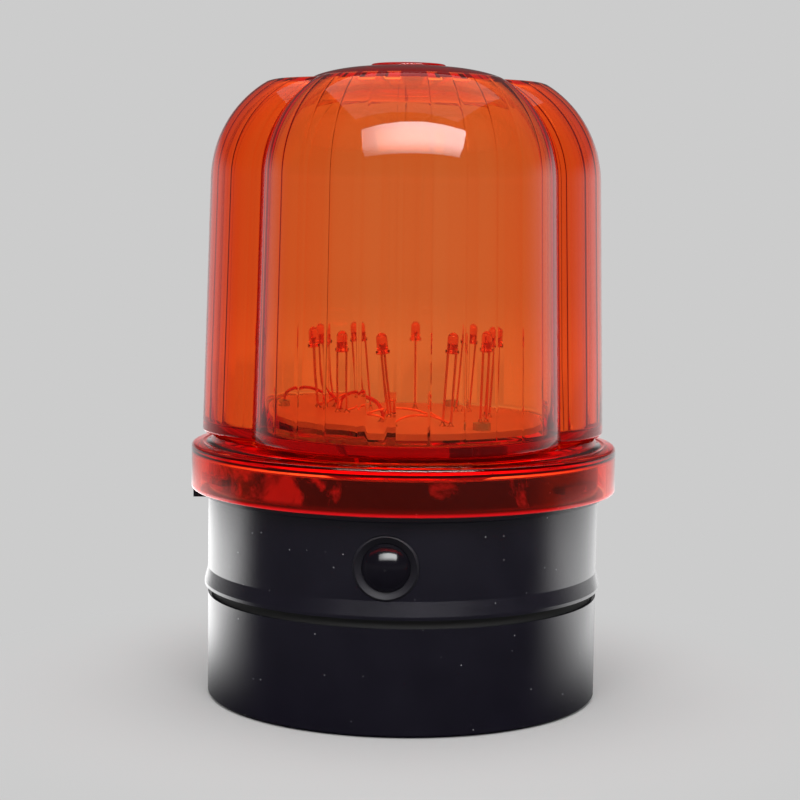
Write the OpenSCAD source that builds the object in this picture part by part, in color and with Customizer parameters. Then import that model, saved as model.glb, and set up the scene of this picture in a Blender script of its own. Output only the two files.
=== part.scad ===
// Battery warning beacon: a three-lobed fluted lens over a ring of LEDs, on a round two-part base
// with a push button and a magnetic foot.
// Millimetres, +Z up, origin at the centre of the foot. The button faces -Y.
// Azimuths are counted from the front (-Y) towards the right (+X).

/* [Cells] */
// Diameter of one D cell
cell_d = 34.2; // [30:0.1:37]
// Length of a cell's can without its cap
can_l = 59.5; // [54:0.5:64]
// Height of a cell's positive cap
cap_h = 2; // [1.6:0.1:3]
// Diameter of a cell's positive cap
cap_d = 9.5; // [8:0.5:12]
// Gap between the two cells
cell_gap = 0.4; // [0.2:0.1:2]
// Room between the cells' corners and the shell
cell_room = 1.4; // [0.8:0.1:4]
// Room between a cell and the tray or the cup's floor
cell_slack = 0.3; // [0.2:0.1:0.8]

/* [Base shells] */
// Wall of the cup and the switch housing
shell_wall = 2.2; // [1.8:0.1:3]
// Height of the battery cup
cup_h = 26.5; // [25:0.5:34]
// Height of the groove between cup and housing
seam_h = 2.3; // [1.5:0.1:4]
// Height of the switch housing's outer wall
housing_h = 25.2; // [24:0.1:30]
// Height of the spigot that carries the lens
lens_spigot_h = 8; // [7:0.5:12]
// Thickness of the deck under the lens
deck_t = 2; // [1.5:0.1:3]
// Wall of the spigot that enters the cup
spigot_wall = 1.4; // [1.2:0.1:2]
// How far the spigot reaches into the cup
spigot_depth = 8; // [7:0.5:10]
// How far the housing's lower lip stands out
lip_out = 0.9; // [0.4:0.1:1.5]
// Height of the lower lip's edge
lip_h = 0.8; // [0.5:0.1:1.5]
// Height over which the wall flares out to the lip
flare_h = 3.6; // [2:0.1:5]
// How far the bead under the lens stands out
bead_out = 1.5; // [0.8:0.1:1.8]
// Height of the bead under the lens
bead_h = 1.4; // [1:0.1:1.6]
// Thickness of the cup's floor
floor_t = 2; // [1.5:0.1:3]
// Bevel round the foot of the cup
foot_bevel = 0.6; // [0.3:0.1:1]
// Number of ribs under the cup's floor
foot_ribs = 12; // [6:1:18]
// Thickness of a rib
rib_t = 1.6; // [1:0.1:2.5]

/* [Bayonet locks] */
// Running gap between shells that turn on each other
turn_gap = 0.3; // [0.25:0.05:0.5]
// Turn that frees the housing from the cup, in degrees
cup_turn = 25; // [15:1:30]
// Width of one bayonet lug, in degrees
lug_arc = 16; // [8:1:22]
// Height of one bayonet lug
lug_h = 2; // [1.5:0.1:2.5]
// How far a cup lug stands out of the spigot
cup_lug_out = 1; // [0.8:0.1:1.2]
// Height of the cup lugs above the spigot's end
cup_lug_up = 2.2; // [1:0.1:3]
// How far a lens ledge stands out of the spigot
ledge_out = 1.8; // [1.4:0.1:1.9]
// Thickness of a lens ledge
ledge_h = 1.7; // [1.2:0.1:2]

/* [Lens] */
// Wall of the lobes
lens_wall = 2.5; // [2:0.1:3]
// Gap between the spigot and the skirt's inner face
skirt_room = 2.2; // [2.1:0.1:3]
// Wall of the skirt
skirt_wall = 2.2; // [2:0.1:3]
// Thickness of the flange above its gasket
flange_t = 2.4; // [2:0.1:4]
// Height of the groove between flange and lobes
neck_h = 2.1; // [1.5:0.1:4]
// How far the neck is drawn in from the flange's edge
neck_in = 5.5; // [4.5:0.1:6.5]
// Distance of each lobe's axis from the lens axis
lobe_shift = 15.6; // [13:0.1:18]
// How far the lobes stay inside the flange's edge
rim_step = 0.2; // [0.2:0.1:3]
// Height of the lobes' drafted wall
lobe_h = 65.4; // [45:0.1:80]
// How much the drafted wall leans in over its height
lobe_draft = 1.8; // [0.5:0.1:3]
// Radius of the shoulder
shoulder_r = 30; // [26:0.5:34]
// Arc of the shoulder, in degrees
shoulder_arc = 60; // [45:1:68]
// Rise of the crown inside the shoulder
crown_h = 3.4; // [2:0.1:6]
// Radius of the disc on the crown
disc_r = 9.7; // [5:0.1:12]
// Height of the disc above the crown
disc_h = 1.9; // [1:0.1:6]
// Flutes inside each lobe
flutes = 11; // [7:2:11]
// Pitch of the flutes round the lobe's axis, in degrees
flute_pitch = 13.2; // [11:0.1:13.5]
// Depth of a flute
flute_depth = 0.55; // [0.4:0.05:0.9]
// Radius of a flute's hollow
flute_r = 5; // [4:0.1:6]
// Turn of the front lobe away from the button, in degrees
lens_az = 6.4; // [0:0.1:20]
// Thickness of the gasket under the flange
gasket_t = 1.2; // [0.8:0.1:2]
// Width of the gasket ring
gasket_w = 4.4; // [3:0.1:5]

/* [Lens catch] */
// Azimuth of the catch, in degrees
catch_az = -88; // [-120:1:-60]
// Width of the catch
catch_w = 6.5; // [4:0.1:10]
// Thickness of the catch's foot and riser
catch_t = 1.6; // [1.2:0.1:1.6]
// Height of the riser above the foot
catch_rise = 1.2; // [0.6:0.1:1.3]
// Thickness of the tongue in the housing wall
tongue_t = 1.1; // [0.8:0.1:1.2]

/* [Button] */
// Height of the button above the housing's lower edge
button_up = 12.3; // [11.6:0.1:13]
// Radius of the button's cap
button_r = 5.85; // [5:0.05:6.5]
// Height of the cap's dome
dome_h = 3.2; // [2:0.1:4.5]
// Travel of the button
button_travel = 1.5; // [1:0.1:1.8]
// Running gap round the cap and the plunger
slide_gap = 0.1; // [0.04:0.01:0.1]
// Width of the bezel ring round the cap
bezel_w = 2.05; // [1.6:0.05:2.6]
// Depth of the bezel from front to back
bezel_t = 2.85; // [2.4:0.05:3.2]
// How far the bezel's edge lies under the wall's crest
bezel_sink = 0.15; // [0:0.05:0.5]
// Depth of the dish in the bezel
dish = 0.95; // [0.5:0.05:1.2]
// Thickness of the cap's hidden flange
cap_flange_t = 1; // [0.8:0.1:1.4]
// Radius of the cap's hidden stem
stem_r = 2; // [1.8:0.1:2.4]
// Length of the cap's hidden stem
stem_l = 2; // [1.9:0.1:2.4]
// Radius of the switch's plunger
plunger_r = 1.5; // [1.2:0.05:1.7]
// Edge of the square switch body
switch_w = 10; // [9:0.1:11]
// Depth of the switch body
switch_l = 6.8; // [6:0.1:7]
// Thickness of the switch bracket
bracket_t = 1.6; // [1.2:0.1:2]
// Distance between the bracket's screws
bracket_pitch = 22.4; // [22:0.1:26]

/* [Light board] */
// Thickness of the board
board_t = 1.6; // [1.2:0.1:2]
// Room between the board and the lens neck
board_room = 3.4; // [2:0.1:6]
// Height of the posts under the board
post_h = 8.4; // [7:0.1:12]
// Radius of a post
post_r = 3; // [2.4:0.1:3.6]
// Radius of the circle of posts
post_ring = 33; // [31:0.1:34]
// Number of LEDs
led_count = 10; // [10:1:10]
// Radius of the ring of LEDs at the board
led_ring = 22.8; // [18:0.1:26]
// Azimuth of the first LED, in degrees
led_az = -75.6; // [-90:0.1:-50]
// Diameter of an LED's barrel
led_d = 3; // [2.8:0.1:3.4]
// Height of an LED
led_h = 5.3; // [4.6:0.1:6]
// Diameter of an LED's rim
led_rim_d = 3.8; // [3.5:0.1:4.2]
// Length of the leads above the board
lead_l = 18.5; // [12:0.1:24]
// Edge of a square lead
lead_w = 0.5; // [0.4:0.05:0.6]
// Distance between an LED's leads
lead_pitch = 2.54; // [2:0.01:2.6]
// Outward lean of the LEDs, in degrees
led_lean = 4; // [0:0.5:5]

/* [Magnet] */
// Radius of the ring magnet
magnet_r = 30; // [24:0.5:34]
// Radius of the hole in the magnet
magnet_bore_r = 11; // [7:0.5:14]
// Thickness of the magnet
magnet_t = 7; // [5:0.5:8]
// Thickness of the steel plate behind the magnet
plate_t = 1.2; // [1:0.1:2]

/* [Screws and contacts] */
// Radius of a thread in a post
screw_r = 1.25; // [1:0.05:1.4]
// Radius of a screw's head
screw_head_r = 2.4; // [2.2:0.1:2.6]
// Height of a screw's head
screw_head_h = 1.7; // [1.2:0.1:2]
// Radius of the magnet's screw
magnet_screw_r = 2; // [1.5:0.1:2.5]
// Gap round a fixed piece in its hole
fit = 0.05; // [0.03:0.01:0.1]
// Thickness of the contact strip
contact_t = 0.4; // [0.3:0.05:0.6]
// Edge of a contact plate
contact_w = 13; // [11:0.5:15]
// Diameter of the contact spring's wire
spring_wire_d = 0.6; // [0.5:0.05:0.7]
// Diameter of a hookup wire
hookup_d = 1.1; // [0.9:0.1:1.3]

/* [Hidden] */
$fn = 96;
overlap = 0.5;

// Radius at which two neighbouring lobes of the given radius meet
function notch_r(r) = lobe_shift / 2 + sqrt(r * r - 0.75 * lobe_shift * lobe_shift);

// Radii, from the cells outwards
cell_r = cell_d / 2;
cell_y = cell_r + cell_gap / 2;
chamber_r = norm([can_l / 2, cell_y + cell_r]) + cell_room;
spigot_r = chamber_r + spigot_wall;
cup_bore_r = spigot_r + turn_gap;
base_r = cup_bore_r + shell_wall;
housing_bore_r = base_r - shell_wall;
skirt_bore_r = base_r + skirt_room;
flange_r = skirt_bore_r + skirt_wall;
neck_r = flange_r - neck_in;
lobe_r = flange_r - rim_step - lobe_shift;
edge_r = lobe_r - lobe_draft - shoulder_r * (1 - cos(shoulder_arc));
neck_bore_r = notch_r(lobe_r - lens_wall) - overlap / 2;
crown_r = notch_r(edge_r) - overlap;
board_r = neck_bore_r - board_room;

// Heights, from the foot upwards
floor_z = magnet_t + plate_t;
floor_top = floor_z + floor_t;
cell_z = floor_top + 2 * cell_slack + cell_r;
seam_top = cup_h + seam_h;
rim_z = seam_top + housing_h;
deck_top = rim_z + lens_spigot_h;
deck_z = deck_top - deck_t;
seat_z = deck_top + gasket_t;
flange_z = seat_z + flange_t;
lobe_z = flange_z + neck_h;
ledge_z = lobe_z + lens_wall;
shoulder_z = lobe_z + lobe_h;
edge_z = shoulder_z + shoulder_r * sin(shoulder_arc);
crown_z = edge_z + crown_h;
board_z = deck_top + post_h;
board_top = board_z + board_t;
button_z = seam_top + button_up;
spigot_z = cup_h - spigot_depth;
lug_z = spigot_z + cup_lug_up;
bead_z = rim_z - bead_h;

// Depths of the button and its switch, counted outwards from the axis
bezel_back = base_r - bezel_sink - bezel_t;
cap_back = bezel_back - cap_flange_t;
stem_end = cap_back - stem_l;
bracket_front = stem_end - 0.6;
bracket_back = bracket_front - bracket_t;
switch_back = bracket_back - switch_l;
bezel_bore_r = button_r + slide_gap;
bezel_r = bezel_bore_r + bezel_w;
plunger_l = stem_end - bracket_back + 2;
switch_tag = [1.8, 4, 0.5];
tag_depth = switch_back + 2.25;
switch_tag_z = button_z + switch_w / 2 - overlap + switch_tag[1];

// Battery contacts, counted along the cells
contact_x = can_l / 2 + cap_h;
end_wall_x = contact_x + contact_t;
end_wall_t = 2;
tray_t = 2;
tray_z = cell_z + cell_r + cell_slack;
tray_top = tray_z + tray_t;
tray_screw_x = 22;
tag_w = 4;
tag_top = tray_top + 3;

// A point at an azimuth, and its children placed there with their local -Y pointing outwards
function around(r, az) = [r * sin(az), -r * cos(az)];
module at(r, az, z = 0) { translate(concat(around(r, az), z)) rotate(az) children(); }
// A turned sector of a profile, centred on an azimuth
module sector(az, arc) { rotate(az - 90 - arc / 2) rotate_extrude(angle = arc) children(); }
// Local +Z points forwards, out of the housing, along the button's axis
module along_button() { translate([0, 0, button_z]) rotate([90, 0, 0]) children(); }

// A smooth route through points, and a tube of eight sides along it
function bend(a, b, c, d, t) = 0.5 * (2 * b + (c - a) * t + (2 * a - 5 * b + 4 * c - d) * t * t
                                      + (3 * b - a - 3 * c + d) * t * t * t);
function route(p, steps) = [
    for (i = [0 : len(p) - 2], s = [0 : steps - 1])
        bend(p[max(i - 1, 0)], p[i], p[i + 1], p[min(i + 2, len(p) - 1)], s / steps),
    p[len(p) - 1]];
function unit(v) = v / norm(v);
function ring(p, dir, d, sides) = let (side = unit(cross(dir, [0.31, 0.42, 0.85])), up = cross(side, dir))
    [for (k = [0 : sides - 1]) p + d / 2 * (cos(360 * k / sides) * side + sin(360 * k / sides) * up)];
module tube(p, d, sides = 8) {
    last = len(p) - 1;
    points = [for (i = [0 : last]) each ring(p[i], unit(p[min(i + 1, last)] - p[max(i - 1, 0)]), d, sides)];
    skin = [for (i = [0 : last - 1], k = [0 : sides - 1])
        let (a = i * sides + k, b = i * sides + (k + 1) % sides)
        each [[a, a + sides, b], [b, a + sides, b + sides]]];
    ends = [[for (k = [0 : sides - 1]) k], [for (k = [sides - 1 : -1 : 0]) last * sides + k]];
    polyhedron(points, concat(ends, skin));
}

// Pan-head screw: head on z = 0 and above, thread below
module screw(r, l, head_r, head_h) {
    translate([0, 0, -l]) cylinder(r = r, h = l);
    difference() {
        cylinder(r = head_r, h = head_h);
        for (turn = [0, 90]) rotate(turn)
            translate([0, 0, head_h]) cube([head_r, head_r / 4, head_h], center = true);
    }
}

// Profile of one lobe about its own axis, moved inwards by the given wall
module lobe_profile(wall, from_z) {
    top_r = lobe_r - lobe_draft;
    polygon([[0, from_z], [lobe_r - wall, from_z], [top_r - wall, shoulder_z], [0, shoulder_z]]);
    intersection() {
        translate([top_r - shoulder_r, shoulder_z]) circle(shoulder_r - wall);
        translate([0, shoulder_z]) square([lobe_r, (shoulder_r - wall) * sin(shoulder_arc)]);
    }
}
// Hollows of the flutes, each a drafted cone in a lobe's inner wall
module flute_hollows() {
    reach = lobe_r - lens_wall + flute_depth;
    z0 = ledge_z + 0.8;
    for (k = [0 : flutes - 1]) rotate((k - (flutes - 1) / 2) * flute_pitch)
        translate([0, flute_r - reach, z0])
            cylinder(r1 = flute_r, r2 = flute_r - lobe_draft, h = shoulder_z - z0 - overlap);
}
// One hollow fluted lobe, cut to its third of the lens
module lobe() {
    far = 2 * flange_r;
    intersection() {
        translate([0, -lobe_shift, 0]) difference() {
            rotate_extrude() lobe_profile(0, lobe_z);
            rotate_extrude() lobe_profile(lens_wall, ledge_z);
            flute_hollows();
            translate([0, lobe_shift, lobe_z - 1])
                cylinder(r = neck_bore_r + overlap, h = lens_wall + 1 + overlap);
        }
        translate([0, 0, lobe_z - 1]) linear_extrude(crown_z)
            polygon([[0, 0], around(far, -60), around(2 * far, 0), around(far, 60)]);
    }
}

// Clear moulding: three fluted lobes, a crown disc, a neck and a skirted flange
module lens() {
    lug_r = base_r + turn_gap;
    web_z = lobe_z + lens_wall / 2;
    color([0.86, 0.25, 0.06, 0.6]) rotate(lens_az) {
        for (az = [0, 120, 240]) rotate(az) lobe();
        rotate_extrude() polygon([[skirt_bore_r, rim_z], [flange_r, rim_z], [flange_r, flange_z - 0.4],
            [flange_r - 0.5, flange_z], [neck_r + 2.6, flange_z + 0.15], [neck_r + 1, flange_z + 0.8],
            [neck_r, web_z], [neck_bore_r, web_z], [neck_bore_r, seat_z], [skirt_bore_r, seat_z]]);
        rotate_extrude() polygon([[0, edge_z - overlap], [crown_r, edge_z - overlap], [crown_r, edge_z],
            [disc_r, crown_z], [disc_r, crown_z + disc_h - 0.5], [disc_r - 0.5, crown_z + disc_h],
            [0, crown_z + disc_h]]);
        for (k = [0 : 2]) sector(60 + 120 * k - lens_az, lug_arc)
            translate([lug_r, rim_z + 1]) square([skirt_bore_r + overlap - lug_r, lug_h]);
    }
}

module lens_gasket() {
    color([0.16, 0.16, 0.17]) translate([0, 0, deck_top]) difference() {
        cylinder(r = base_r, h = gasket_t);
        translate([0, 0, -1]) cylinder(r = base_r - gasket_w, h = gasket_t + 2);
    }
}

// Where the wires pass the deck and the board
wire_x = 5 - board_r;
wire_holes = [[wire_x - 1, 4], [-8, -37]];
board_holes = [[wire_x, 0.5], [-16, -12]];
wire_hole_r = hookup_d / 2 + 0.7;
board_posts = [40, 160, 280];

// Upper shell: lip, wall, bead, lens spigot, deck, posts and bayonet lugs
module switch_housing() {
    shelf_top = seam_top + shell_wall;
    lip_top = seam_top + lip_h;
    boss_l = housing_bore_r - bracket_front;
    ledge_z0 = rim_z + 1 + lug_h + turn_gap;
    color([0.09, 0.08, 0.1]) difference() {
        union() {
            rotate_extrude() polygon([[chamber_r, spigot_z], [spigot_r, spigot_z], [spigot_r, seam_top],
                [base_r + lip_out, seam_top], [base_r + lip_out, lip_top], [base_r, lip_top + flare_h],
                [base_r, bead_z - bead_out / 3], [base_r + bead_out, bead_z], [base_r + bead_out, rim_z],
                [base_r, rim_z], [base_r, deck_top], [0, deck_top], [0, deck_z], [housing_bore_r, deck_z],
                [housing_bore_r, shelf_top], [chamber_r, shelf_top]]);
            for (az = board_posts) at(post_ring, az, deck_top - overlap)
                cylinder(r = post_r, h = post_h + overlap);
            for (x = [-1, 1]) {
                translate([x * tray_screw_x, 0, tray_top])
                    cylinder(r = post_r, h = deck_z - tray_top + overlap);
                along_button() translate([x * bracket_pitch / 2, 0, bracket_front])
                    cylinder(r = screw_head_r, h = boss_l);
            }
            along_button() translate([0, 0, cap_back - overlap])
                cylinder(r = bezel_r + 1.5, h = housing_bore_r - cap_back);
            for (k = [0 : 2]) {
                sector(120 * k, lug_arc) translate([chamber_r + spigot_wall / 2, lug_z])
                    square([spigot_wall / 2 + cup_lug_out, lug_h]);
                sector(60 + 120 * k, lug_arc) translate([base_r - overlap, ledge_z0])
                    square([ledge_out + overlap, ledge_h]);
            }
        }
        along_button() translate([0, 0, cap_back - 2]) cylinder(r = bezel_r + fit, h = base_r);
        for (az = board_posts) at(post_ring, az, deck_top) cylinder(r = screw_r + fit, h = post_h + 1);
        for (x = [-1, 1]) {
            translate([x * tray_screw_x, 0, tray_top - 1]) cylinder(r = screw_r + fit, h = deck_z - tray_top);
            along_button() translate([x * bracket_pitch / 2, 0, bracket_front - 1])
                cylinder(r = screw_r + fit, h = boss_l);
        }
        for (p = wire_holes) translate([p[0], p[1], deck_z - 1]) cylinder(r = wire_hole_r, h = deck_t + 2);
        catch_tongue(fit);
    }
}

catch_z = bead_z - bead_out / 3 - catch_t;
module catch_tongue(gap) {
    at(0, catch_az) translate([-catch_w / 4 - gap, -base_r - overlap, catch_z + (catch_t - tongue_t) / 2 - gap])
        cube([catch_w / 2 + 2 * gap, shell_wall + 2 * overlap, tongue_t + 2 * gap]);
}
// Moulded catch under the skirt: a foot, a riser and a tongue through the housing wall
module lens_catch() {
    foot_r = flange_r - 0.3;
    step_z = catch_z + catch_t;
    arc = catch_w / base_r * 180 / PI;
    color([0.07, 0.07, 0.08]) {
        sector(catch_az, arc) polygon([[base_r, catch_z], [foot_r, catch_z], [foot_r, step_z + catch_rise],
            [foot_r - catch_t, step_z + catch_rise], [foot_r - catch_t, step_z], [base_r, step_z]]);
        catch_tongue(0);
    }
}

// Dished ring round the button
module button_bezel() {
    front = base_r - bezel_sink;
    color([0.08, 0.08, 0.09]) along_button() rotate_extrude() polygon([[bezel_bore_r, bezel_back],
        [bezel_r, bezel_back], [bezel_r, front - 0.3], [bezel_r - 0.5, front], [bezel_bore_r, front - dish]]);
}

// Domed cap with its hidden flange and stem
module button_cap() {
    dome_z = base_r - bezel_sink - dish + 0.1;
    ball_r = (button_r * button_r + dome_h * dome_h) / (2 * dome_h);
    color([0.05, 0.05, 0.06]) along_button() {
        translate([0, 0, cap_back]) cylinder(r = bezel_bore_r + 1.3, h = cap_flange_t);
        translate([0, 0, cap_back]) cylinder(r = button_r, h = dome_z - cap_back);
        intersection() {
            translate([0, 0, dome_z + dome_h - ball_r]) sphere(ball_r);
            translate([0, 0, dome_z]) cylinder(r = bezel_r, h = dome_h + 1);
        }
        translate([0, 0, stem_end]) cylinder(r = stem_r, h = stem_l + overlap);
    }
}

module switch_plunger() {
    color([0.85, 0.84, 0.8]) along_button() translate([0, 0, stem_end - plunger_l])
        cylinder(r = plunger_r, h = plunger_l);
}

// Push switch: square body, plunger bore and two solder tags on top
module switch_body() {
    color([0.14, 0.13, 0.15]) along_button() difference() {
        union() {
            translate([-switch_w / 2, -switch_w / 2, switch_back]) cube([switch_w, switch_w, switch_l]);
            for (x = [-1, 1]) translate([x * switch_w / 4 - switch_tag[0] / 2, switch_w / 2 - overlap,
                                         tag_depth - switch_tag[2] / 2]) cube(switch_tag);
        }
        translate([0, 0, stem_end - plunger_l - button_travel - 0.5])
            cylinder(r = plunger_r + fit, h = switch_l);
    }
}

module switch_bracket() {
    plate = [bracket_pitch + 2 * screw_head_r + 1, switch_w + 3];
    color([0.62, 0.63, 0.65]) along_button() difference() {
        translate([-plate[0] / 2, -plate[1] / 2, bracket_back]) cube([plate[0], plate[1], bracket_t]);
        translate([0, 0, bracket_back - 1]) cylinder(r = stem_r + 0.4, h = bracket_t + 2);
        for (x = [-1, 1]) translate([x * bracket_pitch / 2, 0, bracket_back - 1])
            cylinder(r = screw_r + 2 * fit, h = bracket_t + 2);
    }
}

module bracket_screws() {
    color([0.7, 0.7, 0.72]) along_button() for (x = [-1, 1])
        translate([x * bracket_pitch / 2, 0, bracket_back]) mirror([0, 0, 1])
            screw(screw_r, bracket_t + 2.4, screw_head_r, screw_head_h);
}

// Small sideways offsets of the hand-bent LEDs, in degrees
led_sway = [1, 4, -6, 2, -5, 0, -4, 1, 5, 3];
module at_led(k) {
    at(led_ring, led_az + k * 360 / led_count, board_top) rotate([led_lean, led_sway[k], 0]) rotate(40 * k)
        children();
}

module circuit_board() {
    color([0.62, 0.42, 0.2]) difference() {
        translate([0, 0, board_z]) cylinder(r = board_r, h = board_t);
        for (az = board_posts) at(post_ring, az, board_z - 1) cylinder(r = screw_r + 2 * fit, h = board_t + 2);
        for (p = board_holes) translate([p[0], p[1], board_z - 1]) cylinder(r = wire_hole_r, h = board_t + 2);
        for (k = [0 : led_count - 1], x = [-1, 1]) at_led(k)
            translate([x * lead_pitch / 2, 0, -2 * board_t]) cylinder(r = lead_w, h = 4 * board_t, $fn = 24);
    }
}

module board_screws() {
    color([0.75, 0.75, 0.77]) for (az = board_posts) at(post_ring, az, board_top)
        screw(screw_r, board_t + post_h - 1, screw_head_r, screw_head_h);
}

// Bullet LED: rim, barrel and round nose
module led(k) {
    color([0.95, 0.35, 0.2, 0.8]) at_led(k) translate([0, 0, lead_l]) {
        cylinder(d = led_rim_d, h = 0.9, $fn = 48);
        cylinder(d = led_d, h = led_h - led_d / 2, $fn = 48);
        translate([0, 0, led_h - led_d / 2]) sphere(d = led_d, $fn = 48);
    }
}

module led_leads() {
    color([0.8, 0.8, 0.82]) for (k = [0 : led_count - 1], x = [-1, 1]) at_led(k)
        translate([x * lead_pitch / 2 - lead_w / 2, -lead_w / 2, -board_t - 0.8])
            cube([lead_w, lead_w, lead_l + board_t + 0.8]);
}

// Children hang under the board at a place and a turn, with their local +Z pointing down
module under_board(x, y, turn = 0) { translate([x, y, board_z]) rotate(turn) mirror([0, 0, 1]) children(); }

// Eight-leg timer chip under the middle of the board
chip_size = [9.6, 6.4, 3.2];
chip_leg = [0.6, 1, 2];
chip_lift = 0.6;
module flasher_chip() {
    color([0.1, 0.1, 0.11]) under_board(3, 4) {
        translate([-chip_size[0] / 2, -chip_size[1] / 2, chip_lift]) cube(chip_size);
        for (i = [0 : 3], y = [-1, 1])
            translate([(i - 1.5) * lead_pitch - chip_leg[0] / 2, y * chip_size[1] / 2 - chip_leg[1] / 2, 0])
                cube(chip_leg);
    }
}

// Can with a crimped groove near its end
capacitor_r = 2.5;
capacitor_h = 7.5;
groove_r = 0.4;
module timing_capacitor() {
    color([0.12, 0.13, 0.22]) under_board(13, -6) difference() {
        cylinder(r = capacitor_r, h = capacitor_h);
        translate([0, 0, capacitor_h - 3 * groove_r]) rotate_extrude()
            translate([capacitor_r + groove_r / 3, 0]) circle(groove_r, $fn = 24);
    }
}

// Resistors that lie against the board, with bent legs
resistor_r = 1.15;
resistor_l = 6.4;
resistor_lift = 1.3;
leg_w = 0.5;
resistor_places = [[13, 6, 70], [8, 14, 20], [-3, 15, -15], [4, -8, 10]];
module resistors() {
    leg_x = resistor_l / 2 + 0.7;
    color([0.78, 0.62, 0.42]) for (p = resistor_places) under_board(p[0], p[1], p[2]) {
        translate([-resistor_l / 2, 0, resistor_lift]) rotate([0, 90, 0])
            cylinder(r = resistor_r, h = resistor_l, $fn = 32);
        for (x = [-1, 1]) translate([x * leg_x - leg_w / 2, -leg_w / 2, 0]) cube([leg_w, leg_w, resistor_lift]);
        translate([-leg_x - leg_w / 2, -leg_w / 2, resistor_lift - leg_w / 2])
            cube([2 * leg_x + leg_w, leg_w, leg_w]);
    }
}

// Flat-faced transistors on short legs
transistor_r = 2.3;
transistor_h = 4.4;
leg_h = 2;
transistor_places = [[-10, 3, 30], [-10, 11, 190]];
module transistors() {
    color([0.09, 0.09, 0.1]) for (p = transistor_places) under_board(p[0], p[1], p[2]) {
        translate([0, 0, leg_h]) difference() {
            cylinder(r = transistor_r, h = transistor_h, $fn = 48);
            translate([-2 * transistor_r, transistor_r / 2, -1])
                cube([4 * transistor_r, 2 * transistor_r, transistor_h + 2]);
        }
        for (x = [-1, 0, 1]) translate([x * lead_pitch / 2 - leg_w / 2, -leg_w / 2, 0])
            cube([leg_w, leg_w, leg_h + overlap]);
    }
}

// Hookup wires, by points chosen by hand
tag_x = -end_wall_x + contact_t / 2;
supply_route = [[tag_x, cell_y, tag_top], [tag_x, cell_y, tag_top + 1.5], [wire_x, 13.5, tag_top + 3],
                [wire_x - 1, 7, deck_z - 2.5], [wire_x - 1, 4, deck_z], [wire_x - 1, 4, deck_top],
                [wire_x - 0.4, 1.6, board_z - 3], [wire_x, 0.5, board_top - 0.6],
                [wire_x + 1.4, -2.4, board_top + 4], [-26.5, -5, board_top + 6.6],
                [-20.5, -6.5, board_top + 5.4], [-17.6, -7, board_top + 2.2], [-17.6, -7, board_top]];
switched_route = [[switch_w / 4, -tag_depth, switch_tag_z], [switch_w / 4, -tag_depth, switch_tag_z + 1.6],
                  [-1, 0.4 - tag_depth, switch_tag_z + 4.4], [-7.4, -37, deck_z - 2.4], [-8, -37, deck_z],
                  [-8, -37, deck_top], [-9.6, -32, board_z - 4], [-13.4, -19, board_z - 2.8],
                  [-15.8, -12.8, board_z - 1], [-16, -12, board_top], [-15, -11, board_top + 4],
                  [-11, -10.2, board_top + 6.2], [-6.4, -10.6, board_top + 5], [-4.4, -11.6, board_top + 2],
                  [-4.4, -11.6, board_top]];
return_route = [[-switch_w / 4, -tag_depth, switch_tag_z], [-switch_w / 4, -tag_depth, switch_tag_z + 1.6],
                [-5, 0.4 - tag_depth, switch_tag_z + 3.4], [-12, -34.6, tag_top + 2.1],
                [-22, -28, tag_top + 2.7], [-29.6, -20.6, tag_top + 2.6], [tag_x, -cell_y, tag_top + 1.5], [tag_x, -cell_y, tag_top]];
module supply_wire() { color([0.75, 0.08, 0.06]) tube(route(supply_route, 3), hookup_d); }
module switched_wire() { color([0.75, 0.08, 0.06]) tube(route(switched_route, 3), hookup_d); }
module return_wire() { color([0.08, 0.08, 0.08]) tube(route(return_route, 3), hookup_d); }

// Cradle over the cells: a top plate, rounded shoulders and two end walls
module battery_tray() {
    tray_r = housing_bore_r - 2 * fit - overlap;
    skirt_z = cell_z + 0.55 * cell_r;
    span = 2 * (end_wall_x + end_wall_t);
    color([0.2, 0.2, 0.22]) difference() {
        intersection() {
            union() {
                rotate([90, 0, 90]) translate([0, 0, -span / 2]) linear_extrude(span) difference() {
                    union() {
                        translate([-cell_y, tray_z]) square([2 * cell_y, tray_t]);
                        for (y = [-1, 1]) translate([y * cell_y, cell_z]) circle(cell_r + cell_slack + tray_t);
                    }
                    for (y = [-1, 1]) translate([y * cell_y, cell_z]) circle(cell_r + cell_slack);
                    translate([-cell_y, cell_z - 2 * cell_r])
                        square([2 * cell_y, tray_z - cell_z + 2 * cell_r]);
                    translate([-2 * cell_d, cell_z - 2 * cell_d])
                        square([4 * cell_d, skirt_z - cell_z + 2 * cell_d]);
                }
                for (x = [-1, 1]) translate([x * (end_wall_x + end_wall_t / 2), 0, 0])
                    translate([-end_wall_t / 2, -cell_y - contact_w / 2 - 1, cell_z - contact_w / 2 - 1])
                        cube([end_wall_t, 2 * cell_y + contact_w + 2, tray_top - cell_z + contact_w / 2 + 1]);
            }
            cylinder(r = tray_r, h = 2 * rim_z);
        }
        for (x = [-1, 1]) translate([x * tray_screw_x, 0, tray_z - 1])
            cylinder(r = screw_r + 2 * fit, h = tray_t + 2);
        for (y = [-1, 1]) translate([-end_wall_x - fit, y * cell_y - tag_w / 2 - fit, tray_z - 1])
            cube([contact_t + 2 * fit, tag_w + 2 * fit, tray_t + 2]);
    }
}

module tray_screws() {
    color([0.72, 0.72, 0.74]) for (x = [-1, 1]) translate([x * tray_screw_x, 0, tray_z]) mirror([0, 0, 1])
        screw(screw_r, tray_t + 6, screw_head_r, screw_head_h);
}

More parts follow.
